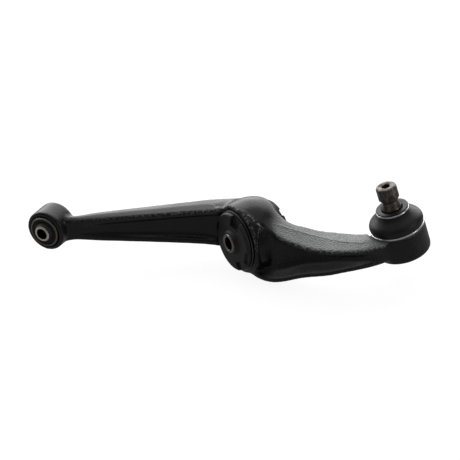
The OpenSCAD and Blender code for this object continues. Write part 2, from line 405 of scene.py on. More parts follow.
class Effects:
    """The node groups that several finishes share, each made once."""

    def __init__(self) -> None:
        """Makes the groups."""
        self.grain = self._grain()
        self.wear = self._wear()
        self.soil = self._soil()

    @staticmethod
    def _group(
        name: str, inputs: Sequence[tuple[str, str, object]], outputs: Sequence[tuple[str, str]]
    ) -> tuple[bpy.types.NodeTree, NodeSheet, bpy.types.Node, bpy.types.Node]:
        """An empty shader group with named sockets."""
        tree = bpy.data.node_groups.new(name, "ShaderNodeTree")
        for socket, kind, value in inputs:
            made = tree.interface.new_socket(name=socket, in_out="INPUT", socket_type=kind)
            if value is not None:
                made.default_value = value
        for socket, kind in outputs:
            tree.interface.new_socket(name=socket, in_out="OUTPUT", socket_type=kind)
        sheet = NodeSheet(tree)
        return tree, sheet, tree.nodes.new("NodeGroupInput"), tree.nodes.new("NodeGroupOutput")

    def _grain(self) -> bpy.types.NodeTree:
        """Surface grain: pits and lumps at two sizes, with a mask of the high spots."""
        tree, sheet, given, made = self._group(
            "surface_grain",
            [("Vector", "NodeSocketVector", None), ("Coarse", "NodeSocketFloat", 300.0),
             ("Fine", "NodeSocketFloat", 1500.0), ("Lumps", "NodeSocketFloat", 0.6)],
            [("Height", "NodeSocketFloat"), ("Mask", "NodeSocketFloat")],
        )
        lumps = tree.nodes.new("ShaderNodeTexVoronoi")
        lumps.feature = "SMOOTH_F1"
        lumps.inputs["Smoothness"].default_value = 0.6
        sheet.link(given.outputs["Vector"], lumps.inputs["Vector"])
        sheet.link(given.outputs["Coarse"], lumps.inputs["Scale"])
        broad = tree.nodes.new("ShaderNodeTexNoise")
        sheet.link(given.outputs["Vector"], broad.inputs["Vector"])
        sheet.link(given.outputs["Coarse"], broad.inputs["Scale"])
        broad.inputs["Detail"].default_value = 3.0
        fine = tree.nodes.new("ShaderNodeTexNoise")
        sheet.link(given.outputs["Vector"], fine.inputs["Vector"])
        sheet.link(given.outputs["Fine"], fine.inputs["Scale"])
        fine.inputs["Detail"].default_value = 5.0
        fine.inputs["Roughness"].default_value = 0.6
        cells = sheet.maths("MULTIPLY", lumps.outputs["Distance"], given.outputs["Lumps"])
        both = sheet.maths("ADD", cells, sheet.maths("MULTIPLY", broad.outputs["Fac"], 0.5))
        height = sheet.maths("ADD", both, sheet.maths("MULTIPLY", fine.outputs["Fac"], 0.22))
        sheet.link(height, made.inputs["Height"])
        sheet.link(sheet.ramp(height, 0.45, 0.95), made.inputs["Mask"])
        return tree

    def _wear(self) -> bpy.types.NodeTree:
        """Edge wear: a mask of a piece's edges, broken up by noise."""
        tree, sheet, given, made = self._group(
            "edge_wear",
            [("Vector", "NodeSocketVector", None), ("Radius", "NodeSocketFloat", 0.001),
             ("Breakup", "NodeSocketFloat", 400.0), ("Amount", "NodeSocketFloat", 0.5)],
            [("Mask", "NodeSocketFloat")],
        )
        bevel = tree.nodes.new("ShaderNodeBevel")
        bevel.samples = 6
        sheet.link(given.outputs["Radius"], bevel.inputs["Radius"])
        face = tree.nodes.new("ShaderNodeNewGeometry")
        facing = tree.nodes.new("ShaderNodeVectorMath")
        facing.operation = "DOT_PRODUCT"
        sheet.link(bevel.outputs["Normal"], facing.inputs[0])
        sheet.link(face.outputs["Normal"], facing.inputs[1])
        edge = sheet.ramp(facing.outputs["Value"], 0.995, 0.86)
        patch = tree.nodes.new("ShaderNodeTexNoise")
        sheet.link(given.outputs["Vector"], patch.inputs["Vector"])
        sheet.link(given.outputs["Breakup"], patch.inputs["Scale"])
        patch.inputs["Detail"].default_value = 5.0
        broken = sheet.ramp(patch.outputs["Fac"], 0.42, 0.62)
        wear_and_highlight = sheet.maths("MULTIPLY", edge, broken)
        sheet.link(sheet.maths("MULTIPLY", wear_and_highlight, given.outputs["Amount"], clamp=True), made.inputs["Mask"])
        return tree

    def _soil(self) -> bpy.types.NodeTree:
        """Handling marks: soft patches and fine specks of dust."""
        tree, sheet, given, made = self._group(
            "handling_marks",
            [("Vector", "NodeSocketVector", None), ("Patch", "NodeSocketFloat", 30.0),
             ("Speck", "NodeSocketFloat", 900.0)],
            [("Patches", "NodeSocketFloat"), ("Specks", "NodeSocketFloat")],
        )
        patch = tree.nodes.new("ShaderNodeTexNoise")
        sheet.link(given.outputs["Vector"], patch.inputs["Vector"])
        sheet.link(given.outputs["Patch"], patch.inputs["Scale"])
        patch.inputs["Detail"].default_value = 6.0
        patch.inputs["Distortion"].default_value = 0.4
        speck = tree.nodes.new("ShaderNodeTexVoronoi")
        sheet.link(given.outputs["Vector"], speck.inputs["Vector"])
        sheet.link(given.outputs["Speck"], speck.inputs["Scale"])
        sheet.link(sheet.ramp(patch.outputs["Fac"], 0.35, 0.68), made.inputs["Patches"])
        sheet.link(sheet.ramp(speck.outputs["Distance"], 0.22, 0.08), made.inputs["Specks"])
        return tree


@dataclass(frozen=True)
class Finish:
    """One material: a base with grain, patches, specks and edge wear.

    Attributes:
        name: The material's name.
        colour: Its main colour.
        patch_colour: The colour that its patches drift to.
        wear_and_highlight_colour: The colour of its rubbed edges; on the forged paint, also the colour of the
            painted highlights on the trimmed flash.
        metallic: How metallic the base is.
        wear_metallic: How metallic rubbed edges are.
        rough: Lowest and highest roughness.
        coarse: Scale of the coarse grain, in cells per metre.
        fine: Scale of the fine grain.
        lumps: Share of rounded lumps in the grain.
        bump: Depth of the grain, in millimetres.
        wear: Amount of edge wear.
        wear_radius: Width of edge wear, in millimetres.
        specks: Share of light dust specks.
        specular: Specular level of the base.
        coat: Weight of a clear coat over it.
        patch: Scale of the patches, in cells per metre.
        dust_colour: The colour of the specks.
        ring_axis: The axis that turning marks run round, if it has them.
        ring_pitch: Distance between turning marks, in millimetres.
        dark_bore: Radius inside which the bore and its mouth are coloured near-black, in millimetres.
    """

    name: str
    colour: tuple[float, float, float]
    patch_colour: tuple[float, float, float]
    wear_and_highlight_colour: tuple[float, float, float] = (0.3, 0.3, 0.3)
    metallic: float = 0.0
    wear_metallic: float = 0.0
    rough: tuple[float, float] = (0.4, 0.55)
    coarse: float = 500.0
    fine: float = 2500.0
    lumps: float = 0.3
    bump: float = 0.05
    wear: float = 0.3
    wear_radius: float = 0.8
    specks: float = 0.1
    specular: float = 0.5
    coat: float = 0.0
    patch: float = 30.0
    dust_colour: tuple[float, float, float] = (0.34, 0.33, 0.31)
    ring_axis: Optional[Axis] = None
    ring_pitch: float = 0.35
    dark_bore: float = 0.0

    def make(self, effects: Effects) -> bpy.types.Material:
        """Builds the material.

        Args:
            effects: The shared node groups.

        Returns:
            The material.
        """
        material = bpy.data.materials.new(self.name)
        material.use_nodes = True
        sheet = NodeSheet(material.node_tree)
        shader = material.node_tree.nodes["Principled BSDF"]
        where = sheet.add("ShaderNodeTexCoord").outputs["Object"]
        grain = self._group(sheet, effects.grain, where)
        grain.inputs["Coarse"].default_value = self.coarse
        grain.inputs["Fine"].default_value = self.fine
        grain.inputs["Lumps"].default_value = self.lumps
        marks = self._group(sheet, effects.soil, where)
        marks.inputs["Patch"].default_value = self.patch
        wear = self._group(sheet, effects.wear, where)
        wear.inputs["Radius"].default_value = self.wear_radius * MM
        wear.inputs["Amount"].default_value = self.wear
        colour = sheet.mix_colour(marks.outputs["Patches"], self.colour, self.patch_colour)
        dust = sheet.maths("MULTIPLY", marks.outputs["Specks"], self.specks)
        colour = sheet.mix_colour(dust, colour, self.dust_colour)
        wear_and_highlight = wear.outputs["Mask"]
        height = grain.outputs["Height"]
        colour, height, wear_and_highlight = self._extra(sheet, where, colour, height, wear_and_highlight)
        # On the forged paint this mask also holds the painted highlights on the flash, so this mix paints them in
        # the wear colour.
        colour = sheet.mix_colour(wear_and_highlight, colour, self.wear_and_highlight_colour)
        sheet.link(colour, shader.inputs["Base Color"])
        spread = sheet.maths("MULTIPLY", marks.outputs["Patches"], 0.6)
        spread = sheet.maths("ADD", spread, sheet.maths("MULTIPLY", grain.outputs["Mask"], 0.4))
        sheet.link(sheet.ramp(spread, 0.0, 1.0, self.rough[0], self.rough[1]), shader.inputs["Roughness"])
        if self.wear_metallic != self.metallic:
            metal = sheet.ramp(wear_and_highlight, 0.0, 1.0, self.metallic, self.wear_metallic)
            sheet.link(metal, shader.inputs["Metallic"])
        else:
            shader.inputs["Metallic"].default_value = self.metallic
        shader.inputs["Specular IOR Level"].default_value = self.specular
        shader.inputs["Coat Weight"].default_value = self.coat
        shader.inputs["Coat Roughness"].default_value = 0.22
        bump = sheet.add("ShaderNodeBump")
        bump.inputs["Strength"].default_value = 1.0
        bump.inputs["Distance"].default_value = self.bump * MM
        sheet.link(height, bump.inputs["Height"])
        sheet.link(bump.outputs["Normal"], shader.inputs["Normal"])
        return material

    @staticmethod
    def _group(sheet: NodeSheet, tree: bpy.types.NodeTree, where: bpy.types.NodeSocket) -> bpy.types.Node:
        """Places a shared group that reads the object's own coordinates."""
        node = sheet.tree.nodes.new("ShaderNodeGroup")
        node.node_tree = tree
        sheet.link(where, node.inputs["Vector"])
        return node

    def _extra(self, sheet: NodeSheet, where: bpy.types.NodeSocket, colour: bpy.types.NodeSocket,
               height: bpy.types.NodeSocket, wear_and_highlight: bpy.types.NodeSocket
               ) -> tuple[bpy.types.NodeSocket, bpy.types.NodeSocket, bpy.types.NodeSocket]:
        """Adds turning marks, for a piece with an axis."""
        if self.ring_axis is None:
            return colour, height, wear_and_highlight
        local = self._local(sheet, where, self.ring_axis)
        across = sheet.add("ShaderNodeSeparateXYZ")
        sheet.link(local, across.inputs[0])
        squares = [sheet.maths("POWER", across.outputs[side], 2.0) for side in ("X", "Y")]
        radius = sheet.maths("SQRT", sheet.maths("ADD", *squares))
        travel = sheet.maths("ADD", radius, across.outputs["Z"])
        wave = sheet.maths("SINE", sheet.maths("MULTIPLY", travel, 2.0 * math.pi / self.ring_pitch))
        height = sheet.maths("ADD", height, sheet.maths("MULTIPLY", wave, 0.25))
        if self.dark_bore > 0.0:
            # Colours the bore and its mouth near-black inside dark_bore.
            inside = sheet.ramp(radius, self.dark_bore + 0.45, self.dark_bore + 0.1)
            colour = sheet.mix_colour(inside, colour, (0.008, 0.0075, 0.007))
            outside = sheet.ramp(radius, self.dark_bore + 0.1, self.dark_bore + 0.45)
            wear_and_highlight = sheet.maths("MULTIPLY", wear_and_highlight, outside)
        return colour, height, wear_and_highlight

    @staticmethod
    def _local(sheet: NodeSheet, where: bpy.types.NodeSocket, axis: Axis) -> bpy.types.NodeSocket:
        """Object coordinates seen from an axis, in millimetres."""
        back = axis.matrix().inverted()
        mapping = sheet.add("ShaderNodeMapping")
        mapping.vector_type = "POINT"
        mapping.inputs["Location"].default_value = back.to_translation()
        mapping.inputs["Rotation"].default_value = back.to_euler("XYZ")
        mapping.inputs["Scale"].default_value = (1.0 / MM, 1.0 / MM, 1.0 / MM)
        sheet.link(where, mapping.inputs["Vector"])
        return mapping.outputs["Vector"]


@dataclass(frozen=True)
class ForgedPaint(Finish):
    """Black paint over a forging: smooth along the inner beam, coarse on the outer arm, with painted highlights on
    the outer arm's up-facing top and on the trimmed flash.

    Attributes:
        grain_from: Where along +X the rough grain starts, in metres.
        grain_full: Where it is at its full depth.
        painted_top_highlight: The colour painted on the outer arm's up-facing top, a painted highlight paler than
            the smooth part.
    """

    grain_from: float = 0.222
    grain_full: float = 0.246
    painted_top_highlight: tuple[float, float, float] = (0.115, 0.117, 0.120)

    def _extra(self, sheet: NodeSheet, where: bpy.types.NodeSocket, colour: bpy.types.NodeSocket,
               height: bpy.types.NodeSocket, wear_and_highlight: bpy.types.NodeSocket
               ) -> tuple[bpy.types.NodeSocket, bpy.types.NodeSocket, bpy.types.NodeSocket]:
        """Makes the grain deeper towards the outer end, paints a highlight on the outer arm's up-facing top and
        paints highlights on the trimmed flash.
        """
        place = sheet.add("ShaderNodeSeparateXYZ")
        sheet.link(where, place.inputs[0])
        lean = sheet.maths("SUBTRACT", place.outputs["X"], sheet.maths("MULTIPLY", place.outputs["Y"], 0.12))
        outward = sheet.ramp(lean, self.grain_from, self.grain_full, 0.10, 1.0)
        height = sheet.maths("MULTIPLY", height, outward)
        streaks = sheet.add("ShaderNodeMapping")
        streaks.inputs["Scale"].default_value = (12.0, 260.0, 60.0)
        streaks.inputs["Rotation"].default_value = (0.0, 0.0, -0.34)
        sheet.link(where, streaks.inputs["Vector"])
        drawn = sheet.noise(streaks.outputs["Vector"], 1.0, 3.0, 0.5)
        inward = sheet.ramp(lean, self.grain_from, self.grain_full, 0.22, 0.0)
        height = sheet.maths("ADD", height, sheet.maths("MULTIPLY", drawn, inward))
        # Painted highlight: the outer arm's up-facing top is coloured paler, weighted by how much it faces up.
        top_highlight_weight = sheet.add("ShaderNodeAttribute", attribute_name="top_highlight_weight")
        pale = sheet.maths("MULTIPLY", sheet.ramp(lean, self.grain_from, self.grain_full, 0.0, 1.0),
                           top_highlight_weight.outputs["Fac"])
        colour = sheet.mix_colour(pale, colour, self.painted_top_highlight)
        # Painted highlight: the flash crests and trimmed seam take the pale wear colour, standing in for glints
        # off their rough faces.
        trimmed = sheet.add("ShaderNodeAttribute", attribute_name="flash")
        patch = sheet.ramp(sheet.noise(where, 420.0, 4.0, 0.65), 0.44, 0.62)
        bright = sheet.maths("MULTIPLY", trimmed.outputs["Fac"], patch, clamp=True)
        wear_and_highlight = sheet.maths("MAXIMUM", wear_and_highlight, sheet.maths("MULTIPLY", bright, 0.75))
        return colour, height, wear_and_highlight


@dataclass(frozen=True)
class Palette:
    """Every finish on the control arm."""

    # The paint's wear colour (0.42, 0.42, 0.43) also paints the highlights on the flash.
    paint: ForgedPaint = ForgedPaint(
        "forged_black_paint", (0.006, 0.006, 0.007), (0.010, 0.010, 0.0115), (0.42, 0.42, 0.43),
        rough=(0.22, 0.36), coarse=620.0, fine=2600.0, lumps=0.9, bump=0.55, wear=0.08,
        wear_radius=0.9, specks=0.04, specular=0.30)
    inner_sleeve: Finish = Finish(
        "inner_sleeve_steel", (0.70, 0.66, 0.58), (0.56, 0.52, 0.45), (0.85, 0.83, 0.78),
        metallic=1.0, wear_metallic=1.0, rough=(0.28, 0.45), coarse=900.0, fine=4000.0, bump=0.03,
        wear=0.5, wear_radius=0.4, specks=0.15, ring_axis=INNER_AXIS, ring_pitch=0.30, dark_bore=6.15)
    outer_sleeve: Finish = Finish(
        "outer_sleeve_steel", (0.20, 0.18, 0.14), (0.13, 0.12, 0.10), (0.42, 0.40, 0.33),
        metallic=1.0, wear_metallic=1.0, rough=(0.35, 0.52), coarse=900.0, fine=4000.0, bump=0.03,
        wear=0.5, wear_radius=0.3, specks=0.1, ring_axis=INNER_AXIS, ring_pitch=0.4)
    mid_sleeve: Finish = Finish(
        "stabiliser_sleeve_steel", (0.30, 0.275, 0.23), (0.21, 0.195, 0.17), (0.52, 0.49, 0.42),
        metallic=1.0, wear_metallic=1.0, rough=(0.34, 0.5), coarse=900.0, fine=4000.0, bump=0.03,
        wear=0.5, wear_radius=0.4, specks=0.15, ring_axis=MID_AXIS, ring_pitch=0.35, dark_bore=7.0)
    shell: Finish = Finish(
        "drawn_shell_steel", (0.10, 0.10, 0.105), (0.07, 0.07, 0.075), (0.34, 0.34, 0.34),
        metallic=1.0, wear_metallic=1.0, rough=(0.34, 0.5), coarse=700.0, fine=3000.0, bump=0.03,
        wear=0.4, wear_radius=0.4, specks=0.1, ring_axis=MID_AXIS, ring_pitch=0.5)
    cover: Finish = Finish(
        "pressed_cover_steel", (0.16, 0.16, 0.165), (0.10, 0.10, 0.105), (0.4, 0.4, 0.4),
        metallic=1.0, wear_metallic=1.0, rough=(0.34, 0.52), coarse=500.0, fine=3000.0, bump=0.04,
        wear=0.4, wear_radius=0.5, specks=0.1, ring_axis=BALL_AXIS, ring_pitch=0.6)
    bush_rubber: Finish = Finish(
        "moulded_bush_rubber", (0.014, 0.014, 0.0145), (0.022, 0.022, 0.0225), (0.045, 0.045, 0.045),
        rough=(0.5, 0.66), coarse=800.0, fine=3500.0, lumps=0.2, bump=0.06, wear=0.3,
        wear_radius=0.9, specks=0.10, specular=0.30, patch=70.0)
    stud: Finish = Finish(
        "phosphated_stud_steel", (0.14, 0.12, 0.10), (0.045, 0.040, 0.036), (0.40, 0.36, 0.31),
        metallic=0.8, wear_metallic=1.0, rough=(0.26, 0.5), coarse=520.0, fine=2400.0, lumps=0.8,
        bump=0.14, wear=0.7, wear_radius=0.8, specks=0.7, ring_axis=BALL_AXIS, ring_pitch=0.5,
        patch=230.0, dust_colour=(0.36, 0.31, 0.26))
    seat: Finish = Finish(
        "acetal_seat", (0.74, 0.72, 0.64), (0.66, 0.64, 0.56), (0.8, 0.8, 0.76),
        rough=(0.4, 0.55), coarse=600.0, fine=3000.0, bump=0.02, wear=0.2, specks=0.0)
    boot: Finish = Finish(
        "smooth_boot_rubber", (0.007, 0.007, 0.008), (0.012, 0.012, 0.013), (0.03, 0.03, 0.03),
        rough=(0.40, 0.54), coarse=420.0, fine=3000.0, lumps=0.1, bump=0.035, wear=0.2,
        wear_radius=0.8, specks=0.06, specular=0.30, patch=60.0)
    ring: Finish = Finish(
        "bright_ring_wire", (0.82, 0.82, 0.83), (0.68, 0.68, 0.70), (0.92, 0.92, 0.92),
        metallic=1.0, wear_metallic=1.0, rough=(0.26, 0.40), coarse=900.0, fine=4000.0, bump=0.012,
        wear=0.3, wear_radius=0.2, specks=0.05, ring_axis=BALL_AXIS, ring_pitch=0.25)


# ------------------------------------------------------------------ sub-assemblies


@dataclass
class ArmForging:
    """The forged arm, with machined bores in a forged skin.

    Attributes:
        effects: The shared node groups.
        palette: The finishes.
        voxel: Cell size of the forged skin, in millimetres.
        fillet: Radius of the inside corners, in millimetres.
        corner: Radius of the outside corners, in millimetres.
        top_blend: Smoothing steps of the blends between the ring and the arms' tops.
        eye_half: How far the inner eye reaches to the front, in millimetres.
        eye_rear: How far it reaches to the rear, in millimetres.
        eye_bore: Radius of the inner eye's bore, in millimetres.
        ring_half: Half the width of the stabiliser ring, in millimetres.
        ring_bore: Radius of the stabiliser ring's bore, in millimetres.
        ring_rise: How far the ring's outside is raised over its bore, in millimetres.
        parting: Points of the parting line along the outer arm's top, in metres.
        marks: Small forged lumps and dents: place in metres, radius and height in millimetres.
    """

    effects: Effects
    palette: Palette
    voxel: float = 1.1
    fillet: float = 2.0
    corner: float = 0.3
    top_blend: int = 260
    eye_half: float = 12.5
    eye_rear: float = 15.5
    eye_bore: float = 17.0
    ring_half: float = 20.0
    ring_bore: float = 30.0
    ring_rise: float = 1.5
    parting: list[tuple[float, float]] = field(default_factory=lambda: [
        (0.245, 0.062), (0.312, 0.079), (0.330, 0.087)])
    marks: list[tuple[float, float, float, float, float]] = field(default_factory=lambda: [
        (0.2455, 0.083, 0.0245, 2.2, 2.0),
        (0.239, 0.0465, -0.0095, 2.8, 1.7),
        (0.235, 0.0473, 0.0186, 2.2, -1.1)])

    def build(self) -> bpy.types.Object:
        """Builds and dresses the forging.

        Returns:
            The forged arm.
        """
        arm = Bench.weld_copy("arm_forging", "forged_arm")
        Bench.join(arm, *self._plugs())
        voxel = self.voxel
        Bench.skin(arm, voxel)
        self._blend_tops(arm)
        for distance in (self.fillet, -self.fillet - self.corner, self.corner):
            Bench.swell(arm, distance)
            Bench.skin(arm, voxel)
        Bench.modify(arm, "SMOOTH", factor=0.5, iterations=2)
        Bench.swell(arm, 0.15)
        self._trim_flash(arm)
        Bench.cut(arm, *self._bores())
        Bench.smooth_shade(arm, 42.0)
        return Bench.finish(
            arm, self.palette.paint.make(self.effects), Slot.BLACK_PAINT, Body.ARM, "arm_forging")

    def _blend_tops(self, arm: bpy.types.Object) -> None:
        """Blends the ring into the tops of both arms, leaving its front rim sharp.

        Args:
            arm: The forged skin.
        """
        spots, _ = Bench.points(arm)
        away = (spots - np.array(MID_AXIS.origin)) / MM
        front = away @ np.array(Vector(MID_AXIS.along).normalized())
        across = away @ np.array(Vector(MID_AXIS.side).normalized())
        shoulder, spread, levels = 28.0, 17.0, 20
        gap = np.abs(across) - shoulder
        weight = np.exp(-((gap / spread) ** 2)) * np.clip((away[:, 2] - 7.0) / 8.0, 0.0, 1.0)
        weight *= np.clip((17.5 - front) / 5.0, 0.0, 1.0) * np.clip((34.0 + front) / 8.0, 0.0, 1.0)
        group = arm.vertex_groups.new(name="saddle")
        steps = np.rint(weight * levels).astype(int)
        for level in range(1, levels + 1):
            group.add([int(i) for i in np.flatnonzero(steps == level)], level / levels, "REPLACE")
        Bench.modify(arm, "SMOOTH", factor=0.5, iterations=self.top_blend, vertex_group="saddle")
        arm.vertex_groups.remove(arm.vertex_groups["saddle"])

    def _plugs(self) -> list[bpy.types.Object]:
        """Solids that fill the bores while the skin is made."""
        eye, rear, ring = self.eye_half, self.eye_rear, self.ring_half
        return [
            Bench.turn("plug_eye", [(0, -rear), (19.5, -rear), (19.5, eye), (0, eye)], INNER_AXIS, 64),
            Bench.turn("plug_ring", [(0, -ring), (31.5, -ring), (31.5, ring), (0, ring)], MID_AXIS, 64),
            Bench.turn("plug_seat", [(0, -16.5), (19.0, -16.5), (22.5, 10.0), (22.5, 17.0), (0, 17.0)],
                       BALL_AXIS, 64),
        ]

    def _bores(self) -> list[bpy.types.Object]:
        """The machined bores, as cutting tools."""
        half = self.ring_half
        seat = [(0, -20), (16.4, -20), (15.5, -15.6), (15.5, -14.5), (18, -14.5), (18, 9.5), (13.5, 9.5),
                (14.4, 11.4), (21, 17.1), (21, 22), (0, 22)]
        return [
            self._bore_tool(
                "tool_eye", INNER_AXIS, self.eye_bore, (self.eye_rear, self.eye_half), 2.6, 1.6, 144),
            self._bore_tool("tool_ring", MID_AXIS, self.ring_bore, (half, half), 1.4, 0.8, 160),
            Bench.turn("tool_seat", seat, BALL_AXIS, 128),
        ]

    @staticmethod
    def _bore_tool(name: str, axis: Axis, radius: float, ends: tuple[float, float],
                   wider: float, deep: float, steps: int) -> bpy.types.Object:
        """A cutting tool for a bore with a countersink at both ends, in millimetres.

        Args:
            name: The tool's name.
            axis: The bore's axis.
            radius: The bore's radius.
            ends: How far the bore reaches to the rear and to the front.
            wider: How much the countersink adds to the radius.
            deep: How far the countersink goes in.
            steps: How many steps the full turn has.

        Returns:
            The tool.
        """
        rear, front = ends
        over, wide, past = 5.0, radius + wider, wider - deep
        return Bench.turn(name, [
            (0, -rear - over), (wide, -rear - over), (wide, -rear - past), (radius, -rear + deep),
            (radius, front - deep), (wide, front + past), (wide, front + over), (0, front + over)], axis, steps)

    def _trim_flash(self, arm: bpy.types.Object) -> None:
        """Roughens the trimmed flash on outside corners and raises the parting line.

        Args:
            arm: The forged skin.
        """
        mesh = arm.data
        count = len(mesh.vertices)
        spots, turns = Bench.points(arm)
        edges = np.zeros(len(mesh.edges) * 2, np.int32)
        mesh.edges.foreach_get("vertices", edges)
        edges = edges.reshape(-1, 2)
        a, b = edges[:, 0], edges[:, 1]
        step = spots[b] - spots[a]
        size = np.linalg.norm(step, axis=1) + 1e-9
        bend = np.einsum("ij,ij->i", turns[b] - turns[a], step) / size / size
        total, shares = np.zeros(count), np.zeros(count)
        for end in (a, b):
            np.add.at(total, end, bend)
            np.add.at(shares, end, 1.0)
        curve = total / np.maximum(shares, 1.0)
        for _ in range(3):
            around = np.zeros(count)
            np.add.at(around, a, curve[b])
            np.add.at(around, b, curve[a])
            curve = 0.5 * curve + 0.5 * around / np.maximum(shares, 1.0)
        least_bend, bend_range, faint = 70.0, 160.0, 0.02
        crest = np.clip((curve - least_bend) / bend_range, 0.0, 1.0)
        crest *= np.clip((turns[:, 2] + 0.15) / 0.3, 0.0, 1.0)
        crest *= np.clip((spots[:, 2] - 0.003) / 0.003, 0.0, 1.0)
        crest *= self._clear_of(spots, INNER_AXIS, 26.0) * self._clear_of(spots, BALL_AXIS, 31.0)
        crest *= 0.35 + 0.65 * np.clip((spots[:, 0] - 0.08) / 0.10, 0.0, 1.0)
        ragged = np.array([
            noise.noise(Vector(p) * 260.0) + 0.6 * noise.noise(Vector(p) * 620.0) if c > faint else 0.0
            for p, c in zip(spots, crest)])
        line = self._parting_weight(spots) * np.clip((turns[:, 2] - 0.55) / 0.2, 0.0, 1.0)
        wander = np.array([
            0.75 + 0.5 * noise.noise(Vector(p) * 180.0) if w > faint else 0.0 for p, w in zip(spots, line)])
        seam = self._trim_weight(spots)
        torn = np.array([
            0.5 + 0.9 * noise.noise(Vector(p) * 330.0) if w > faint else 0.0 for p, w in zip(spots, seam)])
        crease_width, crease_depth = 1.7, 1.7
        crease = np.exp(-((self._gap(spots, self._fold_line()) / crease_width) ** 2))
        lift = -crease_depth * crease + crest * (0.10 + 0.55 * ragged)
        lift += line * wander * 0.55 + seam * torn * 0.9
        for x, y, z, radius, height in self.marks:
            away = np.linalg.norm(spots - (x, y, z), axis=1) / MM / radius
            lift += height * np.exp(-(away ** 2))
        mesh.vertices.foreach_set("co", (spots + turns * (lift * MM)[:, None]).astype(np.float32).ravel())
        mesh.update()
        # Weight of the painted highlight on up-facing tops: how much each point faces up.
        top_highlight_weight = mesh.attributes.new("top_highlight_weight", "FLOAT", "POINT")
        top_highlight_weight.data.foreach_set("value", np.clip((turns[:, 2] - 0.35) / 0.4, 0.0, 1.0).astype(np.float32))
        # Where the paint gets painted highlights: the flash crests and the trimmed seam.
        flash = mesh.attributes.new("flash", "FLOAT", "POINT")
        bright = np.clip(np.maximum(crest, 1.6 * seam * np.clip(torn, 0.0, 1.0)), 0.0, 1.0)
        flash.data.foreach_set("value", bright.astype(np.float32))

    @staticmethod
    def _clear_of(spots: np.ndarray, axis: Axis, radius: float) -> np.ndarray:
        """1 outside a radius in millimetres round an axis and 0 inside it."""
        away = spots - np.array(axis.origin)
        along = np.array(Vector(axis.along).normalized())
        across = away - np.outer(away @ along, along)
        return np.clip((np.linalg.norm(across, axis=1) / MM - radius) / 3.0, 0.0, 1.0)

    @staticmethod
    def _gap(spots: np.ndarray, line: Sequence[Sequence[float]]) -> np.ndarray:
        """Distance of each point from a line of points, in millimetres.

        Args:
            spots: Points in metres, with as many columns as the line's points have.
            line: The line's points, in metres.

        Returns:
            One distance for each point.
        """
        near = np.full(len(spots), 1.0)
        for start, end in zip(np.array(line), np.array(line)[1:]):
            run = end - start
            t = np.clip(((spots - start) @ run) / (run @ run), 0.0, 1.0)
            near = np.minimum(near, np.linalg.norm(spots - (start + t[:, None] * run), axis=1))
        return near / MM

    def _parting_weight(self, spots: np.ndarray) -> np.ndarray:
        """How close each point is to the parting line, seen from above."""
        return np.exp(-((self._gap(spots[:, :2], self.parting) / 1.1) ** 2))

    def _trim_weight(self, spots: np.ndarray) -> np.ndarray:
        """How close each point is to the trimmed flash over the ring's front."""
        return np.exp(-((self._gap(spots, self._trim_line()) / 1.6) ** 2))

    def _on_ring(self, angle: float, radius: float, front: float) -> tuple[float, float, float]:
        """A point near the ring.

        Args:
            angle: Degrees from the ring's top towards the outer arm.
            radius: Millimetres from the ring's own centre line.
            front: Millimetres to the front of its middle.

        Returns:
            The point, in metres.
        """
        turn = math.radians(angle)
        place = Vector(MID_AXIS.side).normalized() * radius * math.sin(turn)
        place += Vector(MID_AXIS.along).normalized() * front
        place += Vector((0.0, 0.0, self.ring_rise + radius * math.cos(turn)))
        return tuple(Vector(MID_AXIS.origin) + place * MM)

    def _trim_line(self) -> list[tuple[float, float, float]]:
        """The trimmed flash: the inner beam's edge, the ring's rim and back over its shoulder."""
        line = [(0.160, 0.0735, 0.025), (0.170, 0.0705, 0.026)]
        for angle in np.linspace(-45.0, 53.0, 12):
            over = max(angle / 53.0, 0.0)
            line.append(self._on_ring(angle, 36.0 + 4.0 * over, 20.2 - 11.3 * over))
        return line

    def _fold_line(self) -> list[tuple[float, float, float]]:
        """The crease between the ring's outer side and the recess of the outer arm."""
        line = []
        for angle in np.linspace(50.0, 124.0, 10):
            bow = ((angle - 87.0) / 37.0) ** 2
            line.append(self._on_ring(angle, 38.5 + 2.0 * bow, 16.2 - 8.0 * bow))
        return line


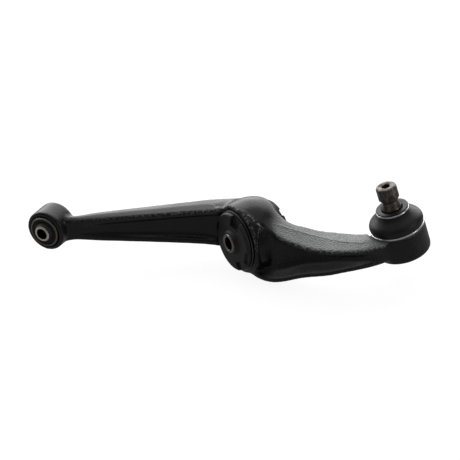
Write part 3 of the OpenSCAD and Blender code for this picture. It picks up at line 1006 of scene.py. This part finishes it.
@dataclass
class InnerBush:
    """The small pivot bush: outer sleeve, rubber and inner sleeve.

    Attributes:
        effects: The shared node groups.
        palette: The finishes.
    """

    effects: Effects
    palette: Palette
    shell_r: float = 17.0
    shell_half: float = 14.5
    sleeve_r: float = 8.85
    sleeve_half: float = 18.7
    bore_r: float = 6.0

    def build(self) -> None:
        """Builds and dresses the three pieces."""
        r, h = self.shell_r, self.shell_half
        outer = Bench.turn("inner_bush_shell", [
            (r - 2.0, -h + 0.5), (r - 1.6, -h), (r - 0.7, -h), (r - 0.1, -h + 0.7), (r, -h + 1.6),
            (r, h - 1.6), (r - 0.1, h - 0.7), (r - 0.7, h), (r - 1.6, h), (r - 2.0, h - 0.5)], INNER_AXIS)
        Bench.round_edges(outer, 0.15)
        Bench.smooth_shade(outer)
        Bench.finish(outer, self.palette.outer_sleeve.make(self.effects), Slot.SLEEVE_STEEL, Body.ARM,
                     "inner_outer_sleeve")
        rubber = Bench.turn("inner_bush_rubber", self._rubber_outline(), INNER_AXIS)
        Bench.round_edges(rubber, 0.25, 3)
        Bench.smooth_shade(rubber)
        Bench.finish(rubber, self.palette.bush_rubber.make(self.effects), Slot.BUSH_RUBBER, Body.ARM,
                     "inner_rubber")
        s, k, b = self.sleeve_r, self.sleeve_half, self.bore_r
        sleeve = Bench.turn("inner_bush_sleeve", [
            (b, -k + 1.2), (b + 0.5, -k), (s - 0.9, -k), (s, -k + 0.9), (s, k - 0.9), (s - 0.9, k),
            (b + 0.5, k), (b, k - 1.2)], INNER_AXIS)
        Bench.round_edges(sleeve, 0.2)
        Bench.smooth_shade(sleeve)
        Bench.finish(sleeve, self.palette.inner_sleeve.make(self.effects), Slot.SLEEVE_STEEL, Body.INNER_PIVOT,
                     "inner_sleeve")

    def _rubber_outline(self) -> Outline:
        """The bonded rubber: a collar on the sleeve, a hollow and a lip at the shell."""
        ri, ro, h = self.sleeve_r + 0.06, self.shell_r - 2.0, self.shell_half - 1.0
        front = [(ro, h), (ro - 0.5, h + 0.25), (ro - 1.2, h - 0.1), (ro - 2.2, h - 1.1), (ro - 3.2, h - 1.0),
                 (ri + 2.3, h + 0.6), (ri + 1.4, h + 2.4), (ri + 1.0, h + 4.0), (ri + 0.5, h + 4.4), (ri, h + 4.3)]
        return [(r, -z) for r, z in reversed(front)] + front


@dataclass
class StabiliserBush:
    """The large angled bush: shell, two rubber halves and the long sleeve.

    Attributes:
        effects: The shared node groups.
        palette: The finishes.
    """

    effects: Effects
    palette: Palette
    shell_r: float = 30.0
    ring_half: float = 20.0
    disc_r: float = 32.0
    disc_z: float = 27.4
    sleeve_r: float = 10.5
    sleeve_half: float = 32.0
    bore_r: float = 7.0
    notches: list[tuple[float, float, float, float]] = field(default_factory=lambda: [
        (76.0, 18.0, 15.0, 4.5), (-14.0, 26.0, 15.0, 2.4), (-60.0, 22.0, 9.0, 3.0), (166.0, 27.0, 15.0, 3.0)])

    def build(self) -> None:
        """Builds and dresses the four pieces."""
        self._shell()
        self._half("stabiliser_bush_front", MID_AXIS, "stabiliser_front_rubber")
        rear = Axis(MID_AXIS.origin, tuple(-v for v in MID_AXIS.along), MID_AXIS.side)
        self._half("stabiliser_bush_rear", rear, "stabiliser_rear_rubber")
        s, k, b = self.sleeve_r, self.sleeve_half, self.bore_r
        sleeve = Bench.turn("stabiliser_bush_sleeve", [
            (b, -k + 1.1), (b + 1.1, -k), (s - 0.8, -k), (s, -k + 0.8), (s, k - 0.8), (s - 0.8, k),
            (b + 1.1, k), (b, k - 1.1)], MID_AXIS)
        Bench.round_edges(sleeve, 0.22)
        Bench.smooth_shade(sleeve)
        Bench.finish(sleeve, self.palette.mid_sleeve.make(self.effects), Slot.SLEEVE_STEEL,
                     Body.STABILISER_PIVOT, "stabiliser_sleeve")

    def _shell(self) -> None:
        """The pressed shell, with its flanges rolled out over the ring's faces."""
        r, z, d = self.shell_r, self.ring_half, self.disc_r
        half = [(r, z - 1.0), (r + 0.2, z + 0.1), (r + 0.9, z + 0.5), (d + 0.8, z + 0.5), (d + 1.2, z + 0.9),
                (d + 1.2, z + 1.6), (d + 0.8, z + 2.0), (r - 1.4, z + 2.0), (r - 2.0, z + 1.2)]
        outline = half + [(a, -b) for a, b in reversed(half)]
        shell = Bench.turn("stabiliser_bush_shell", outline, MID_AXIS)
        Bench.round_edges(shell, 0.15)
        Bench.smooth_shade(shell)
        Bench.finish(shell, self.palette.shell.make(self.effects), Slot.SHELL_STEEL, Body.ARM,
                     "stabiliser_shell")

    def _half(self, name: str, axis: Axis, node: str) -> None:
        """One rubber half: a body in the shell and a thick disc with moulded notches.

        Args:
            name: The piece's name.
            axis: Its axis, pointing out of its disc.
            node: The CAD node it stands for.
        """
        ri, ro, z1 = self.sleeve_r + 0.12, self.shell_r - 2.1, self.ring_half + 2.1
        dr, dz = self.disc_r, self.disc_z
        disc = Bench.turn(name, [
            (ri, 0.3), (ro, 0.3), (ro, z1), (dr - 0.9, z1), (dr - 0.1, z1 + 0.7), (dr, z1 + 1.6), (dr, dz - 2.2),
            (dr - 0.4, dz - 1.2), (dr - 1.4, dz - 0.35), (dr - 2.8, dz), (dr - 7.0, dz), (ri + 4.6, dz),
            (ri + 3.4, dz + 0.3), (ri + 2.6, dz + 1.4), (ri + 2.1, dz + 3.2), (ri + 1.3, dz + 3.9),
            (ri, dz + 3.9)], axis, 144)
        for turn, inner, width, depth in self.notches:
            Bench.cut(disc, self._notch(axis, turn, inner, width, depth))
        Bench.skin(disc, 0.55)
        Bench.modify(disc, "SMOOTH", factor=0.5, iterations=3)
        Bench.smooth_shade(disc, 60.0)
        Bench.finish(disc, self.palette.bush_rubber.make(self.effects), Slot.BUSH_RUBBER, Body.ARM, node)

    def _notch(self, axis: Axis, turn: float, inner: float, width: float, depth: float) -> bpy.types.Object:
        """A cutting tool for one notch, open to the rim."""
        Bench.clear()
        bpy.ops.mesh.primitive_cube_add(size=1.0, location=(0.0, 0.0, 0.0))
        tool = bpy.context.object
        reach = self.disc_r + 4.0 - inner
        tool.data.transform(Matrix.Diagonal((reach, width, 10.0, 1.0)))
        tool.data.transform(Matrix.Translation((inner + reach / 2.0, 0.0, self.disc_z - depth + 5.0)))
        tool.data.transform(Matrix.Rotation(math.radians(turn), 4, "Z"))
        tool.data.transform(axis.matrix())
        return tool


@dataclass
class BallJoint:
    """The ball joint: stud, seats, cover, boot and the boot's two rings.

    Attributes:
        effects: The shared node groups.
        palette: The finishes.
    """

    effects: Effects
    palette: Palette
    ball_r: float = 12.5
    stud_r: float = 11.0
    stud_top: float = 64.0
    groove_h: float = 46.0
    house_r: float = 29.0
    house_top: float = 13.5
    fold: float = 26.0

    def build(self) -> None:
        """Builds and dresses the pieces."""
        self._stud()
        self._boot()
        self._rings()
        self._cover()
        for node in ("ball_seat_upper", "ball_seat_lower"):
            self._carry(node, self.palette.seat.make(self.effects))
        self._carry("preload_washer", self.palette.cover.make(self.effects))

    @staticmethod
    def _carry(node: str, material: bpy.types.Material) -> None:
        """Gives a carried-over CAD node its material."""
        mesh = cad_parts[node].data
        mesh.materials.clear()
        mesh.materials.append(material)
        LOG.info("%s: carried over with %s", node, material.name)

    def _stud(self) -> None:
        """The ball stud, with its clamping groove and the socket in its end."""
        r, top, g = self.stud_r, self.stud_top, self.groove_h
        ball = [(self.ball_r * math.sin(a), -self.ball_r * math.cos(a))
                for a in np.radians(np.linspace(34.0, 144.0, 34))]
        outline = [(0.0, ball[0][1])] + ball + [
            (7.0, 10.9), (7.0, 16.0), (7.2, 18.0), (7.8, 20.0), (r - 0.8, 36.2), (r - 0.5, 37.2), (r - 0.3, 37.8),
            (r - 0.3, 38.8), (r - 0.8, 39.5), (9.2, 42.4), (8.5, g - 1.6), (8.2, g - 0.6), (8.2, g + 0.6),
            (8.6, g + 1.7), (9.7, g + 2.8), (r - 0.4, g + 3.4), (r, g + 3.9), (r, top - 2.0),
            (r - 0.5, top - 1.0), (r - 1.7, top - 0.15), (r - 2.3, top), (6.2, top),
            (5.6, top - 0.4), (0.0, top - 0.4)]
        stud = Bench.turn("ball_joint_stud", outline, BALL_AXIS, 128)
        Bench.round_edges(stud, 0.22)
        Bench.cut(stud, self._socket())
        Bench.smooth_shade(stud, 30.0)
        Bench.finish(stud, self.palette.stud.make(self.effects), Slot.STUD_STEEL, Body.STUD, "ball_stud")

    def _socket(self) -> bpy.types.Object:
        """A cutting tool for the six-sided socket in the stud's end."""
        Bench.clear()
        bpy.ops.mesh.primitive_cylinder_add(vertices=6, radius=5.1, depth=8.0, location=(0.0, 0.0, 0.0))
        tool = bpy.context.object
        bpy.ops.object.mode_set(mode="EDIT")
        bpy.ops.mesh.select_all(action="SELECT")
        bpy.ops.transform.translate(value=(0.0, 0.0, self.stud_top - 1.0))
        bpy.ops.object.mode_set(mode="OBJECT")
        tool.data.transform(BALL_AXIS.matrix())
        return tool

    def _boot(self) -> None:
        """The dust boot, in two pieces that meet at its fold."""
        outer = [
            (28.2, 13.9), (28.25, 14.3), (28.1, 15.9), (28.3, 16.5), (28.7, 17.2), (29.0, 18.4), (29.05, 20.0),
            (28.7, 22.0), (27.7, 24.1), (25.9, self.fold), (23.7, 27.8), (21.6, 29.5), (20.0, 30.9), (18.8, 32.2),
            (17.8, 33.3), (17.1, 34.2), (16.75, 34.7), (16.65, 35.0), (16.65, 36.1), (16.9, 36.3), (17.4, 36.6),
            (17.5, 37.1), (17.2, 37.7), (16.5, 38.0)]
        inner = [
            (13.0, 37.9), (11.8, 37.5), (11.15, 36.9), (11.15, 34.6), (14.4, 33.6), (16.0, 32.2), (18.2, 30.6),
            (20.6, 28.4), (23.2, self.fold), (24.2, 23.4), (25.4, 21.0), (25.9, 18.6), (25.7, 17.4), (25.5, 17.1),
            (25.5, 13.9)]
        low = [p for p in outer if p[1] <= self.fold] + [p for p in inner if p[1] <= self.fold]
        high = [p for p in outer if p[1] >= self.fold] + [p for p in inner if p[1] >= self.fold]
        rubber = self.palette.boot.make(self.effects)
        for name, outline, bodies, start, end in (
            ("dust_boot_skirt", low, (Body.ARM, Body.BOOT), 16.5, self.fold - 0.3),
            ("dust_boot_neck", high, (Body.BOOT, Body.BOOT_COLLAR), self.fold + 0.3, 35.0),
        ):
            piece = Bench.turn(name, self._fine(outline), BALL_AXIS, 144)
            Bench.smooth_shade(piece, 40.0)
            Bench.finish(piece, rubber, Slot.BOOT_RUBBER, None, "dust_boot")
            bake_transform(piece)

    @staticmethod
    def _fine(outline: Outline) -> Outline:
        """An outline with its long sides divided into short steps."""
        made: Outline = []
        for (r0, h0), (r1, h1) in zip(outline, outline[1:] + outline[:1]):
            parts = max(1, int(math.hypot(r1 - r0, h1 - h0) / 0.8))
            made += [(r0 + (r1 - r0) * k / parts, h0 + (h1 - h0) * k / parts) for k in range(parts)]
        return made

    def _rings(self) -> None:
        """The two bright rings that clamp the boot, each two turns of wire."""
        bright = self.palette.ring.make(self.effects)
        for name, radius, height, wire, body, node in (
            ("boot_ring_lower", self.house_r - 0.25, self.house_top + 1.7, 0.42, Body.ARM, "boot_lower_ring"),
            ("boot_ring_upper", 17.25, 35.4, 0.44, Body.BOOT_COLLAR, "boot_upper_ring"),
        ):
            turns = []
            for k in (-1, 1):
                turns += [(radius + wire * math.cos(a), height + k * wire + wire * math.sin(a))
                          for a in np.radians(np.linspace(-80.0, 80.0, 7))]
            back = [(radius - wire, height + 2 * wire), (radius - wire, height - 2 * wire)]
            ring = Bench.turn(name, turns + back, BALL_AXIS, 160)
            Bench.smooth_shade(ring, 60.0)
            Bench.finish(ring, bright, Slot.BRIGHT_RING, body, node)

    def _cover(self) -> None:
        """The pressed cover under the ball, dished in the middle, with the staked edge on it."""
        z = -14.5
        cover = Bench.turn("housing_cover_plate", [
            (0.0, z + 0.8), (5.6, z + 0.8), (6.8, z + 0.6), (8.0, z + 0.1), (9.0, z), (16.9, z), (17.9, z + 0.4),
            (17.9, z + 1.75), (0.0, z + 1.75)], BALL_AXIS, 128)
        Bench.round_edges(cover, 0.2)
        Bench.smooth_shade(cover)
        Bench.finish(cover, self.palette.cover.make(self.effects), Slot.SHELL_STEEL, Body.ARM,
                     "housing_cover")


# ------------------------------------------------------------------ studio


@dataclass
class Studio:
    """The floor, lights and camera.

    Attributes:
        azimuth: The camera's heading round the object, in degrees.
        elevation: Its height over the horizon, in degrees.
        roll: How far it is turned about its line of sight, in degrees.
        place: Where it stands, in metres.
        lens: Its focal length, in millimetres, on a 36 mm sensor.
    """

    azimuth: float = 28.83
    elevation: float = 30.35
    roll: float = 2.24
    place: tuple[float, float, float] = (0.8944, -1.2234, 0.8666)
    lens: float = 125.2
    centre: tuple[float, float, float] = (0.19, 0.06, 0.0)

    def build(self) -> None:
        """Sets up the studio."""
        self._floor()
        self._lights()
        self._camera()
        bpy.context.scene.view_settings.view_transform = "Standard"
        bpy.context.scene.view_settings.look = "None"

    def _floor(self) -> None:
        """A wide, plain, pale floor just under the object, glowing a little as a light table does."""
        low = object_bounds()[0].z
        Bench.clear()
        bpy.ops.mesh.primitive_plane_add(size=12.0, location=(self.centre[0], self.centre[1], 0.0))
        floor = bpy.context.object
        floor.name = "studio_floor"
        floor.data.transform(Matrix.Translation((0.0, 0.0, low - 0.0005)))
        material = bpy.data.materials.new("pale_floor")
        material.use_nodes = True
        shader = material.node_tree.nodes["Principled BSDF"]
        shader.inputs["Base Color"].default_value = (0.16, 0.16, 0.16, 1.0)
        shader.inputs["Roughness"].default_value = 0.9
        shader.inputs["Specular IOR Level"].default_value = 0.0
        shader.inputs["Emission Color"].default_value = (1.0, 1.0, 1.0, 1.0)
        path = material.node_tree.nodes.new("ShaderNodeLightPath")
        glow = material.node_tree.nodes.new("ShaderNodeMath")
        glow.operation = "MULTIPLY_ADD"
        glow.inputs[1].default_value = 0.72
        glow.inputs[2].default_value = 0.20
        material.node_tree.links.new(path.outputs["Is Camera Ray"], glow.inputs[0])
        material.node_tree.links.new(glow.outputs[0], shader.inputs["Emission Strength"])
        floor.data.materials.append(material)
        floor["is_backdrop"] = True

    def _lights(self) -> None:
        """A broad, dim backdrop behind, a softbox overhead, one to the right, and a pale surround."""
        head = math.radians(self.azimuth)
        away = Vector((-math.sin(head), math.cos(head), 0.0))
        right = Vector((math.cos(head), math.sin(head), 0.0))
        middle = Vector(self.centre)
        for name, offset, size, power in (
            ("backdrop", away * 1.6 - right * 0.2 + Vector((0.0, 0.0, 0.85)), (4.6, 2.3), 92.0),
            ("softbox_top", away * 0.3 + Vector((0.0, 0.0, 1.9)), (2.2, 2.0), 9.0),
            ("softbox_right", right * 1.9 - away * 0.9 + Vector((0.0, 0.0, 0.9)), (0.5, 1.2), 6.0),
        ):
            data = bpy.data.lights.new(name, "AREA")
            data.shape = "RECTANGLE"
            data.size, data.size_y = size
            data.energy = power
            lamp = bpy.data.objects.new(name, data)
            bpy.context.scene.collection.objects.link(lamp)
            lamp.location = middle + offset
            lamp.rotation_euler = (-offset).to_track_quat("-Z", "Y").to_euler()
        world = bpy.data.worlds.new("pale_surround")
        bpy.context.scene.world = world
        world.use_nodes = True
        world.node_tree.nodes["Background"].inputs["Color"].default_value = (1.0, 1.0, 1.0, 1.0)
        world.node_tree.nodes["Background"].inputs["Strength"].default_value = 0.15

    def _camera(self) -> None:
        """The camera, at the place and heading it was fitted to."""
        az, el, roll = (math.radians(v) for v in (self.azimuth, self.elevation, self.roll))
        right = Vector((math.cos(az), math.sin(az), 0.0))
        ahead = Vector((-math.sin(az) * math.cos(el), math.cos(az) * math.cos(el), -math.sin(el)))
        down = -right.cross(ahead)
        turned_right = right * math.cos(roll) + down * math.sin(roll)
        turned_down = down * math.cos(roll) - right * math.sin(roll)
        data = bpy.data.cameras.new("camera")
        data.lens, data.sensor_width = self.lens, 36.0
        data.clip_start, data.clip_end = 0.05, 30.0
        camera = bpy.data.objects.new("camera", data)
        bpy.context.scene.collection.objects.link(camera)
        pose = Matrix((turned_right, -turned_down, -ahead)).transposed().to_4x4()
        camera.matrix_world = Matrix.Translation(Vector(self.place)) @ pose
        bpy.context.scene.camera = camera


def main() -> None:
    """Builds every sub-assembly in order, then the studio."""
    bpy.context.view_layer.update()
    effects = Effects()
    palette = Palette()
    ArmForging(effects, palette).build()
    InnerBush(effects, palette).build()
    StabiliserBush(effects, palette).build()
    BallJoint(effects, palette).build()
    Studio().build()
    LOG.info("boxes written")


if __name__ == "__main__":
    main()
